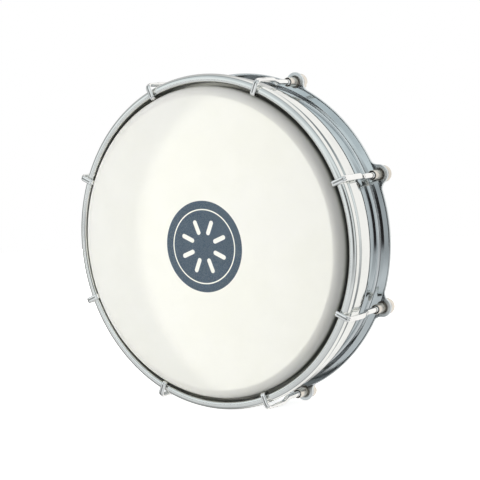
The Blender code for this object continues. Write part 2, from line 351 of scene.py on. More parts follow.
class NodeBench:
    """Adds shader nodes to one material or world."""

    def __init__(self, tree: bpy.types.NodeTree) -> None:
        """Work on a node tree."""
        self.tree = tree

    def feed(self, node: bpy.types.Node, inputs: Inputs) -> None:
        """Set each input to its value, or link it where the value is a socket."""
        for key, value in inputs.items():
            if isinstance(value, Socket):
                self.tree.links.new(value, node.inputs[key])
            else:
                node.inputs[key].default_value = value

    def add(self, kind: str, inputs: Inputs, **settings: str) -> bpy.types.NodeOutputs:
        """Add a node.

        Args:
            kind: The node's type name.
            inputs: A value or a source socket for each input that is set.
            **settings: The node's own settings.

        Returns:
            The new node's outputs.
        """
        node = self.tree.nodes.new(kind)
        for name, setting in settings.items():
            setattr(node, name, setting)
        self.feed(node, inputs)
        return node.outputs

    def math(self, operation: str, first: Value, second: Value = 0.0) -> Socket:
        """The result of a Math node."""
        return self.add("ShaderNodeMath", {0: first, 1: second}, operation=operation)[0]

    def product(self, first: Value, *others: Value) -> Socket:
        """Several values multiplied."""
        for other in others:
            first = self.math("MULTIPLY", first, other)
        return first

    def weigh(self, first: Socket, share: float, second: Socket) -> Socket:
        """A share of one value added to the rest of another."""
        return self.math("ADD", self.product(first, share), self.product(second, 1 - share))

    def apart(self, first: Value, second: Value) -> Socket:
        """The distance between two numbers."""
        return self.math("ABSOLUTE", self.math("SUBTRACT", first, second))

    def length(self, first: Socket, second: Socket) -> Socket:
        """The length of a flat vector."""
        flat = self.add("ShaderNodeCombineXYZ", {0: first, 2: second})[0]
        return self.add("ShaderNodeVectorMath", {0: flat}, operation="LENGTH")["Value"]

    def unit(self, value: Socket) -> Socket:
        """A value from -1 to 1 brought to 0 to 1."""
        return self.add("ShaderNodeMath", {0: value, 1: 0.5, 2: 0.5}, operation="MULTIPLY_ADD")[0]

    def split(self, vector: Socket) -> bpy.types.NodeOutputs:
        """The X, Y and Z of a vector."""
        return self.add("ShaderNodeSeparateXYZ", {0: vector})

    def place(self) -> Socket:
        """The shading point in the object's own metres."""
        return self.add("ShaderNodeTexCoord", {})["Object"]

    def noise(self, vector: Socket, scale: float, detail: float) -> Socket:
        """A soft noise between 0 and 1."""
        return self.add("ShaderNodeTexNoise", {"Vector": vector, "Scale": scale, "Detail": detail})[0]

    def band(
        self, value: Value, low: float, high: float, to_low: float = 0.0, to_high: float = 1.0
    ) -> Socket:
        """A value mapped smoothly from one range to another and held at its ends."""
        inputs = {0: value, 1: low, 2: high, 3: to_low, 4: to_high}
        return self.add("ShaderNodeMapRange", inputs, interpolation_type="SMOOTHSTEP")[0]

    def span(self, value: Value, edges: Four) -> Socket:
        """1 between two soft edges, each given by where it starts and ends, and 0 outside them."""
        return self.product(self.band(value, *edges[:2]), self.band(value, *edges[2:], 1.0, 0.0))

    def blend(self, factor: Value, first: Value, second: Value, mode: str = "MIX") -> Socket:
        """One colour fading to another."""
        ends = [value if isinstance(value, Socket) else (*value, 1) for value in (first, second)]
        inputs = {0: factor, 6: ends[0], 7: ends[1]}
        return self.add("ShaderNodeMix", inputs, data_type="RGBA", blend_type=mode)[2]

    def ramp(self, factor: Socket, stops: Sequence[Four]) -> Socket:
        """A colour ramp of stops, each its place, red, green and blue."""
        result = self.add("ShaderNodeValToRGB", {0: factor})[0]
        elements = result.node.color_ramp.elements
        while len(elements) < len(stops):
            elements.new(0.5)
        for element, (place, *colour) in zip(elements, stops):
            element.position = place
            element.color = (*colour, 1)
        return result

    def bump(self, height: Socket, strength: float, depth: float) -> Socket:
        """A bumped normal.

        Args:
            height: The height between 0 and 1.
            strength: How much of the bump is used.
            depth: Height of a full step in metres.

        Returns:
            The normal for a shader.
        """
        return self.add("ShaderNodeBump", {"Height": height, "Strength": strength, "Distance": depth})[0]

    def round_the_axis(self, vector: Socket, along: float, across: float) -> Socket:
        """Coordinates drawn out round the drum's axis, with no seam.

        Args:
            vector: A place in metres.
            along: How fast the pattern changes round the axis.
            across: How fast it changes across, for each metre of depth and radius.

        Returns:
            The drawn-out coordinates.
        """
        x, y, z = self.split(vector)
        out = self.length(x, z)
        safe = self.math("MAXIMUM", out, 0.001)
        sides = [self.product(self.math("DIVIDE", side, safe), along) for side in (x, z)]
        over = self.product(self.math("ADD", y, out), across)
        return self.add("ShaderNodeCombineXYZ", {0: sides[0], 1: sides[1], 2: over})[0]


def new_finish(name: str) -> tuple[Material, NodeBench, bpy.types.Node]:
    """A new node material with a bench for its nodes and its shader."""
    material = bpy.data.materials.new(name)
    material.use_nodes = True
    tree = material.node_tree
    return material, NodeBench(tree), tree.nodes["Principled BSDF"]


@dataclass(frozen=True)
class Plating:
    """A plated or bare metal finish with fine polishing lines, haze and small pits.

    Attributes:
        name: Name of the material.
        colour: Colour of its reflection.
        shade: Colour of it where the plate is thin or dusty.
        gloss: Roughness where it is clean.
        haze: Roughness where it is handled.
        line_depth: Height of the polishing lines in metres.
        pitting: Share of the surface taken by small dark pits.
        satin_radius: Distance from the axis past which the polish fades to satin.
        satin_fade: Width of that fade.
        satin: Roughness past it.
    """

    name: str
    colour: Colour
    shade: Colour
    gloss: float
    haze: float
    line_depth: float = 0.000004
    pitting: float = 0.02
    satin_radius: float = 1.0
    satin_fade: float = 0.002
    satin: float = 0.42

    def make(self) -> Material:
        """Build the finish as a node material on Object coordinates."""
        material, bench, shader = new_finish(self.name)
        spot = bench.place()
        fine = bench.noise(bench.round_the_axis(spot, 14.0, 9000.0), 1.0, 2.0)
        broad = bench.noise(bench.round_the_axis(spot, 5.0, 2200.0), 1.0, 2.0)
        lines = bench.weigh(fine, 0.35, broad)
        clouds = bench.noise(spot, 55.0, 3.0)
        pits = bench.band(bench.noise(spot, 900.0, 2.0), 0.73 - self.pitting, 0.76 - self.pitting)
        worn = bench.band(clouds, 0.45, 0.75, 0.0, 0.6)
        gloss = bench.band(bench.weigh(clouds, 0.6, lines), 0.3, 0.7, self.gloss, self.haze)
        x, _, z = bench.split(spot)
        edge = self.satin_radius
        satin = bench.band(bench.length(x, z), edge, edge + self.satin_fade, 0.0, self.satin)
        height = bench.math("SUBTRACT", broad, bench.product(pits, 0.8))
        looks = {
            "Metallic": 1.0,
            "Base Color": bench.blend(bench.math("MAXIMUM", pits, worn), self.colour, self.shade),
            "Roughness": bench.math("MAXIMUM", gloss, satin),
            "Normal": bench.bump(height, 0.6, self.line_depth),
        }
        bench.feed(shader, looks)
        return material


@dataclass(frozen=True)
class PrintedFilm:
    """White drumhead film with a round print in its middle.

    Attributes:
        name: Name of the material.
        colour: Colour of the film.
        ink: Colour of the print.
        gap_shade_colour: Colour of the painted shade on the film's edge down in the gap beside the hoop.
        gap_shade_start: Stations where that colour starts and is full.
        gap_shade_end: Stations where it fades and where its rest is reached.
        gap_shade_rest: Share of it that stays behind them.
        scatter: How far light spreads inside the film.
        scatter_weight: Share of the light that does.
        print_radius: Radius of the printed disc.
        print_middle: X and Z of the disc's middle.
        stroke_middle: Distance of the middle of each pale stroke from the centre.
        stroke_half_length: Half a stroke's straight length.
        stroke_half_width: Half a stroke's width.
        ring_radius: Radius of the thin pale ring round the strokes.
        ring_half_width: Half the ring's width.
        edge: Softness of the print's edges.
        face_y: Y that only the film's front face lies in front of.
    """

    name: str = "printed_head_film"
    colour: Colour = (0.935, 0.935, 0.82)
    ink: Colour = (0.050, 0.082, 0.127)
    gap_shade_colour: Colour = (0.14, 0.145, 0.14)
    gap_shade_start: tuple[float, float] = (-0.0022, 0.0012)
    gap_shade_end: tuple[float, float] = (0.0034, 0.0048)
    gap_shade_rest: float = 0.3
    scatter: float = 0.0012
    scatter_weight: float = 0.85
    print_radius: float = 0.0220
    print_middle: tuple[float, float] = (-0.0002, -0.0010)
    stroke_middle: float = 0.0098
    stroke_half_length: float = 0.0026
    stroke_half_width: float = 0.0011
    ring_radius: float = 0.0178
    ring_half_width: float = 0.0003
    edge: float = 0.00006
    face_y: float = -0.02085

    def past(self, bench: NodeBench, value: Socket, limit: float) -> Socket:
        """0 below a limit and 1 above it, with the print's soft edge."""
        return bench.band(value, limit - self.edge, limit + self.edge)

    def within(self, bench: NodeBench, value: Socket, limit: float) -> Socket:
        """1 below a limit and 0 above it, with the print's soft edge."""
        return bench.band(value, limit - self.edge, limit + self.edge, 1.0, 0.0)

    def print_mask(self, bench: NodeBench, spot: Socket) -> Socket:
        """Where the ink lies: 1 on the disc, 0 on the bare film, the strokes and the ring."""
        wide, y, high = bench.split(spot)
        x = bench.math("SUBTRACT", wide, self.print_middle[0])
        z = bench.math("SUBTRACT", high, self.print_middle[1])
        radius = bench.length(x, z)
        turn = 2 * math.pi / DRUM.ear_count
        local = bench.math("FLOORED_MODULO", bench.math("ARCTAN2", x, z), turn)
        local = bench.math("SUBTRACT", local, turn / 2)
        outward = bench.product(radius, bench.math("COSINE", local))
        aside = bench.product(radius, bench.math("SINE", local))
        from_middle = bench.apart(outward, self.stroke_middle)
        beyond = bench.math("MAXIMUM", bench.math("SUBTRACT", from_middle, self.stroke_half_length), 0.0)
        off_stroke = self.past(bench, bench.length(beyond, aside), self.stroke_half_width)
        off_ring = self.past(bench, bench.apart(radius, self.ring_radius), self.ring_half_width)
        disc = self.within(bench, radius, self.print_radius)
        front = self.within(bench, y, self.face_y)
        return bench.product(disc, off_stroke, off_ring, front)

    def bare(self, bench: NodeBench, spot: Socket, mottle: Socket) -> Socket:
        """The film's own colour, faintly mottled, with painted shade darkening it down in the gap beside
        the hoop.
        """
        paler = tuple(min(1.0, part * 1.02) for part in self.colour)
        duller = tuple(part * 0.975 for part in self.colour)
        clean = bench.blend(bench.band(mottle, 0.35, 0.65), duller, paler)
        y = bench.split(spot)[1]
        start, end = (map(DRUM.y_at, ends) for ends in (self.gap_shade_start, self.gap_shade_end))
        # Painted shade: the film's edge darkens down in the gap beside the hoop, where shade falls.
        gap_shade = bench.product(bench.band(y, *start), bench.band(y, *end, 1.0, self.gap_shade_rest))
        return bench.blend(gap_shade, clean, self.gap_shade_colour)

    def make(self) -> Material:
        """Build the film as a node material on Object coordinates."""
        material, bench, shader = new_finish(self.name)
        spot = bench.place()
        ink = self.print_mask(bench, spot)
        mottle = bench.noise(spot, 30.0, 5.0)
        grain = bench.noise(spot, 2600.0, 2.0)
        strong = tuple(part * 1.12 for part in self.ink)
        ink_tone = bench.blend(bench.noise(spot, 400.0, 2.0), self.ink, strong)
        rough = bench.band(bench.weigh(mottle, 0.5, grain), 0.3, 0.7, 0.30, 0.44)
        height = bench.math("ADD", grain, bench.product(ink, 2.0))
        looks = {
            "Base Color": bench.blend(ink, self.bare(bench, spot, mottle), ink_tone),
            "Roughness": bench.math("SUBTRACT", rough, bench.product(ink, 0.1)),
            "Normal": bench.bump(height, 0.35, 0.00001),
            "Subsurface Weight": self.scatter_weight,
            "Subsurface Radius": (1.0, 1.0, 0.92),
            "Subsurface Scale": self.scatter,
            "IOR": 1.5,
        }
        bench.feed(shader, looks)
        return material


CHROME_SHELL = Plating(
    "shell_chrome_plate", (0.80, 0.83, 0.84), (0.68, 0.71, 0.72), 0.04, 0.10, satin_radius=0.0806
)
CHROME_HOOP = Plating("hoop_chrome_plate", (0.87, 0.88, 0.86), (0.74, 0.75, 0.74), 0.05, 0.12, 0.000008)
CHROME_HOOK = Plating("hook_chrome_plate", (0.96, 0.96, 0.95), (0.76, 0.76, 0.75), 0.045, 0.11)
# Painted shade: a darker colour on the floor of the groove along each hook's claw.
GROOVE_SHADE = Plating("hook_groove_grime", (0.46, 0.46, 0.45), (0.30, 0.30, 0.30), 0.14, 0.30)
NICKEL_NUT = Plating("nut_nickel_plate", (0.80, 0.75, 0.68), (0.58, 0.53, 0.46), 0.16, 0.30)
ZINC_WASHER = Plating("washer_zinc_plate", (0.62, 0.63, 0.64), (0.42, 0.43, 0.44), 0.28, 0.45)
# Painted shade: a darker colour, with a duller finish, on the ear holes' walls and inside the bead.
RECESS_SHADE = Plating("recess_painted_shade", (0.62, 0.62, 0.61), (0.40, 0.40, 0.39), 0.36, 0.55)
SATIN_INSIDE = Plating("hoop_satin_inside", (0.78, 0.79, 0.80), (0.62, 0.63, 0.64), 0.45, 0.6)
# Painted shade: near black in each nut's mouth and bore.
BORE_SHADE = Plating("nut_oiled_bore", (0.03, 0.028, 0.025), (0.015, 0.014, 0.012), 0.4, 0.6)
MILL_ALUMINIUM = Plating("flesh_hoop_mill_aluminium", (0.75, 0.76, 0.78), (0.55, 0.56, 0.58), 0.34, 0.5)


@dataclass
class Shell:
    """The drawn steel shell: wall, bearing edge, rear flange and eight ears.

    Attributes:
        radius: Outside of the wall.
        flange_width: How far the flange stands out from the wall.
        fillet: Inside radius of the bend into the flange.
        bearing_bend: Radius of the bearing edge.
        bearing_station: Station of the bearing edge's middle.
        lip: How far the sheet runs inwards past the bearing edge.
        ear_radius: Radius of an ear about its hole.
        ear_fillet: Radius of the fillets that run an ear into the flange.
        hole_radius: Radius of an ear's hole.
        sink: Depth and width of the countersinks of the hole.
        margin: How far past the hole's radius its own faces are looked for.
        dish: How far the flange's edge leans towards the head.
        set_back: How far its root lies behind the flange's own station.
        lean_radius: Middle of the bend that makes it lean.
        seat_radius: Where the edge turns flat again, as it is on the ears.
        lean_bend: Radius of both bends.
        edge_round: Rounding of the sheet's cut edge.
        arc_steps: Facets of an ear's fillet, half of an ear and half of a bay between ears.
    """

    radius: float = 0.0746
    flange_width: float = 0.0063
    fillet: float = 0.0013
    bearing_bend: float = 0.0040
    bearing_station: float = -0.0004
    lip: float = 0.0001
    ear_radius: float = 0.00465
    ear_fillet: float = 0.0040
    hole_radius: float = 0.0028
    sink: float = 0.0002
    margin: float = 0.00015
    dish: float = 0.00045
    set_back: float = 0.00025
    lean_radius: float = 0.0774
    seat_radius: float = 0.0802
    lean_bend: float = 0.0040
    edge_round: float = 0.00035
    arc_steps: int = 10

    def ear_outline(self) -> list[tuple[float, float]]:
        """The edge of one ear.

        Returns:
            (angle, radius) points from one end of the ear's fillets to the other.
        """
        reach = self.radius + self.flange_width + self.ear_fillet
        spread = self.ear_radius + self.ear_fillet
        hole = DRUM.tension_radius
        half_angle = math.acos((reach**2 + hole**2 - spread**2) / (2 * reach * hole))
        centre = (reach * math.sin(half_angle), reach * math.cos(half_angle))
        lean = math.atan2(centre[1] - hole, centre[0])
        side: list[tuple[float, float]] = []
        for step in range(self.arc_steps + 1):
            angle = math.pi / 2 + (lean - math.pi / 2) * step / self.arc_steps
            side.append((self.ear_radius * math.cos(angle), hole + self.ear_radius * math.sin(angle)))
        start, end = math.pi + lean, 1.5 * math.pi - half_angle
        for step in range(1, self.arc_steps + 1):
            angle = start + (end - start) * step / self.arc_steps
            across = centre[0] + self.ear_fillet * math.cos(angle)
            side.append((across, centre[1] + self.ear_fillet * math.sin(angle)))
        whole = [(-across, outward) for across, outward in side[:0:-1]] + side
        return [(math.atan2(across, outward), math.hypot(across, outward)) for across, outward in whole]

    def section(self, edge_radius: float) -> list[Vector]:
        """The sheet's section where the flange ends at a radius."""
        inside = self.radius - DRUM.sheet
        lip_radius = self.radius - self.bearing_bend - self.lip
        front = self.bearing_station - self.bearing_bend
        lip_round = 0.45 * DRUM.sheet
        root_front = DRUM.flange_station + self.set_back
        root_rear = root_front + DRUM.sheet
        corners = [
            Corner(edge_radius, root_rear - self.dish, self.edge_round, 4),
            Corner(self.seat_radius, root_rear - self.dish, self.lean_bend, 3),
            Corner(self.lean_radius, root_rear, self.lean_bend, 6),
            Corner(inside, root_rear, self.fillet + DRUM.sheet, 10),
            Corner(inside, front + DRUM.sheet, self.bearing_bend - DRUM.sheet, 6),
            Corner(lip_radius, front + DRUM.sheet, lip_round, 4),
            Corner(lip_radius, front, lip_round, 4),
            Corner(self.radius, front, self.bearing_bend, 8),
            Corner(self.radius, root_front, self.fillet, 12),
            Corner(self.lean_radius, root_front, self.lean_bend, 6),
            Corner(self.seat_radius, root_front - self.dish, self.lean_bend, 3),
            Corner(edge_radius, root_front - self.dish, self.edge_round, 4),
        ]
        return rounded(corners, closed=True)

    def sheet_mesh(self) -> Mesh:
        """The whole shell with its ear holes."""
        bm = bmesh.new()
        ear = self.ear_outline()
        ear_end = ear[-1][0]
        bay = 2 * math.pi / DRUM.ear_count - 2 * ear_end
        bay_steps = 2 * self.arc_steps
        loops = []
        for index in range(DRUM.ear_count):
            middle = DRUM.ear_angle(index)
            edge = [(middle + angle, reach) for angle, reach in ear]
            for step in range(1, bay_steps):
                edge.append((middle + ear_end + bay * step / bay_steps, self.radius + self.flange_width))
            for angle, reach in edge:
                sine, cosine = math.sin(angle), math.cos(angle)
                points = [Vector((p.x * sine, DRUM.y_at(p.y), p.x * cosine)) for p in self.section(reach)]
                loops.append(ring(bm, points))
        for loop, after in zip(loops, loops[1:] + loops[:1]):
            bmesh.ops.bridge_loops(bm, edges=loop + after)
        mesh = cut(bm, self.hole_plugs(), "drum_shell_sheet")
        turns = [DRUM.ear_matrix(index).inverted() for index in range(DRUM.ear_count)]

        def is_hole(face: Face) -> bool:
            """Whether a face lies in an ear's hole."""
            if abs(face.normal.y) > 0.9 or from_axis(face.center) < self.lean_radius:
                return False
            reach = self.hole_radius + self.margin
            return any(from_axis(turn @ face.center) < reach for turn in turns)

        # The walls of the ear holes take the painted shade.
        refinish(mesh, 1, is_hole)
        return mesh

    def hole_plugs(self) -> Shape:
        """Eight plugs that leave a small countersink on both faces of the flange."""
        beyond = 0.001
        wide = self.hole_radius + self.sink + beyond
        front, rear = DRUM.flange_station, DRUM.flange_rear
        corners = [
            Corner(0, front - beyond),
            Corner(wide, front - beyond),
            Corner(self.hole_radius, front + self.sink),
            Corner(self.hole_radius, rear - self.sink),
            Corner(wide, rear + beyond),
            Corner(0, rear + beyond),
        ]
        plugs = bmesh.new()
        plug_mesh = as_mesh(turned(corners, 40, closed=False), "ear_hole_plug")
        for index in range(DRUM.ear_count):
            before = set(plugs.verts)
            plugs.from_mesh(plug_mesh)
            fresh = [corner for corner in plugs.verts if corner not in before]
            bmesh.ops.transform(plugs, matrix=DRUM.ear_matrix(index), verts=fresh)
        bpy.data.meshes.remove(plug_mesh)
        return plugs

    def build(self) -> None:
        """Dress the shell."""
        finishes = [CHROME_SHELL.make(), RECESS_SHADE.make()]
        dress("drum_shell_sheet", self.sheet_mesh(), finishes, "shell", "drum_shell")


@dataclass
class CounterHoop:
    """The pressed steel hoop: rolled bead, groove and straight band.

    Attributes:
        bead_front: How far the bead stands in front of its middle.
        bead_round: Rounding of the bead's outer front.
        bead_inner_round: Rounding of its inner front.
        bead_rear: Station where the bead ends behind.
        groove_depth: Depth of the groove behind the bead.
        groove_end: Station where the groove starts to rise.
        band_station: Station where the band starts.
        band_step: How far the band lies inside the bead's outer edge.
        band_depth: Length of the band.
        band_sheet: Thickness of the band.
        draw_in: How far the band's rear edge is drawn in.
        draw_station: Station where the band starts to draw in.
        draw_bend: Radius of that bend.
        recess_station: Station where the painted shade inside the bead starts.
        margin: How far past a radius the faces that lie on it are looked for.
        steps: Facets round the axis.
    """

    bead_front: float = 0.0020
    bead_round: float = 0.0027
    bead_inner_round: float = 0.0014
    bead_rear: float = 0.0024
    groove_depth: float = 0.0020
    groove_end: float = 0.0044
    band_station: float = 0.0055
    band_step: float = 0.0011
    band_depth: float = 0.0098
    band_sheet: float = 0.0010
    draw_in: float = 0.0009
    draw_station: float = 0.0124
    draw_bend: float = 0.0180
    recess_station: float = 0.0012
    margin: float = 0.00002
    steps: int = 288

    def mesh(self) -> Mesh:
        """The hoop, turned in one piece."""
        outer = DRUM.hoop_radius
        inner = outer - DRUM.bead_width
        groove = outer - self.groove_depth
        band = outer - self.band_step
        band_inside = band - self.band_sheet
        shoulder = (self.groove_end + self.band_station) / 2
        rear = self.band_station + self.band_depth
        corners = [
            Corner(inner, shoulder, 0.0003, 3),
            Corner(inner, 0.0001 - self.bead_front, self.bead_inner_round, 12),
            Corner(outer, -self.bead_front, self.bead_round, 16),
            Corner(outer, self.bead_rear, 0.0015, 8),
            Corner(groove, self.bead_rear, 0.0004, 4),
            Corner(groove, self.groove_end, 0.0008, 5),
            Corner(band, self.band_station, 0.0004, 5),
            Corner(band, self.draw_station, self.draw_bend, 10),
            Corner(band - self.draw_in, rear, 0.0009, 8),
            Corner(band_inside - self.draw_in, rear, 0.00008, 2),
            Corner(band_inside, self.draw_station, self.draw_bend, 10),
            Corner(band_inside, shoulder, 0.0003, 3),
        ]
        mesh = as_mesh(turned(corners, self.steps, closed=True), "rolled_counter_hoop")

        def is_recess(face: Face) -> bool:
            """Whether a face lies inside the bead."""
            depth = face.center.y + DRUM.middle_station
            is_inside = from_axis(face.center) < groove - self.margin
            return is_inside and self.recess_station < depth < self.band_station

        def is_band_inside(face: Face) -> bool:
            """Whether a face lies on the inside of the band."""
            is_behind = face.center.y > DRUM.y_at(self.band_station)
            return is_behind and from_axis(face.center) < band_inside + self.margin

        # Inside the bead takes painted shade; the band's inside takes a satin finish.
        refinish(mesh, 1, is_recess)
        refinish(mesh, 2, is_band_inside)
        return mesh

    def build(self) -> None:
        """Dress the hoop."""
        finishes = [CHROME_HOOP.make(), RECESS_SHADE.make(), SATIN_INSIDE.make()]
        dress("rolled_counter_hoop", self.mesh(), finishes, "rim", "counter_hoop")


@dataclass
class Head:
    """The plastic head and the metal channel that holds its edge.

    Attributes:
        proud: How far the playing face stands in front of the bead's middle.
        film: Thickness of the film.
        collar: Radius of the head's rounded corner.
        face_rings: Radii of the rings of faces across the playing face.
        channel_front: Station of the channel's open side.
        channel_radius: Outside of the channel.
        channel_rim: Thickness of the channel's outer wall.
        channel_wall: Thickness of its inner wall.
        channel_floor: Thickness of its floor.
        anchor_depth: How deep the film's edge reaches into the channel.
        steps: Facets round the axis.
    """

    proud: float = 0.0050
    film: float = 0.0003
    collar: float = 0.0047
    face_rings: tuple[float, ...] = (0, 0.024, 0.048, 0.066)
    channel_front: float = 0.00525
    channel_radius: float = 0.0786
    channel_rim: float = 0.0011
    channel_wall: float = 0.0006
    channel_floor: float = 0.0008
    anchor_depth: float = 0.0040
    steps: int = 288

    def film_mesh(self) -> Mesh:
        """The film: playing face, rounded collar and the edge folded into the channel."""
        outer, inner = DRUM.film_radius, DRUM.film_radius - self.film
        anchor = self.channel_radius - self.channel_rim - GAP
        end = self.channel_front + self.anchor_depth
        fold = self.channel_front + self.film
        tight = 0.4 * self.film
        front, back = -self.proud, self.film - self.proud
        corners = [Corner(radius, front) for radius in self.face_rings]
        corners += [
            Corner(outer, front, self.collar, 14),
            Corner(outer, self.channel_front, tight, 3),
            Corner(anchor, self.channel_front, tight, 3),
            Corner(anchor, end),
            Corner(anchor - self.film, end),
            Corner(anchor - self.film, fold),
            Corner(inner, fold),
            Corner(inner, back, self.collar - self.film, 14),
        ]
        corners += [Corner(radius, back) for radius in reversed(self.face_rings)]
        return as_mesh(turned(corners, self.steps, closed=False), "head_skin")

    def channel_mesh(self) -> Mesh:
        """The channel, open towards the front."""
        start = self.channel_front + self.film + GAP
        floor_front = self.channel_front + self.anchor_depth + GAP
        floor_back = floor_front + self.channel_floor
        inside = DRUM.film_radius
        rim = self.channel_radius - self.channel_rim
        spots = [
            (inside, start),
            (inside + self.channel_wall, start),
            (inside + self.channel_wall, floor_front),
            (rim, floor_front),
            (rim, self.channel_front),
            (self.channel_radius, self.channel_front),
            (self.channel_radius, floor_back),
            (inside, floor_back),
        ]
        corners = [Corner(radius, station, 0.0002, 3) for radius, station in spots]
        return as_mesh(turned(corners, self.steps, closed=True), "flesh_channel")

    def build(self) -> None:
        """Dress the film and its channel."""
        dress("head_skin", self.film_mesh(), [PrintedFilm().make()], "rim", "head_film")
        finishes = [MILL_ALUMINIUM.make()]
        dress("flesh_channel", self.channel_mesh(), finishes, "rim", "flesh_hoop")


@dataclass(frozen=True)
class Section:
    """The cross-section of a hook at one place.

    Attributes:
        half_width: Half its width round the drum.
        half_thickness: Half its thickness.
        fullness: 2 for an oval, more for a squarer shape.
        groove: Depth of the groove pressed along its outer face.
    """

    half_width: float
    half_thickness: float
    fullness: float
    groove: float = 0.0

    def toward(self, other: "Section", share: float) -> "Section":
        """The section part of the way to another."""
        ease = share * share * (3 - 2 * share)
        return Section(
            self.half_width + (other.half_width - self.half_width) * ease,
            self.half_thickness + (other.half_thickness - self.half_thickness) * ease,
            self.fullness + (other.fullness - self.fullness) * ease,
            self.groove + (other.groove - self.groove) * ease,
        )


@dataclass(frozen=True)
class HookCorner:
    """One corner of the hook's middle line.

    Attributes:
        outward: Distance outwards from the rod's axis.
        station: Place along the drum's axis.
        bend: Radius of the bend.
        section: The hook's section there.
    """

    outward: float
    station: float
    bend: float
    section: Section

    @property
    def spot(self) -> Vector:
        """The corner's place."""
        return Vector((self.outward, self.station))


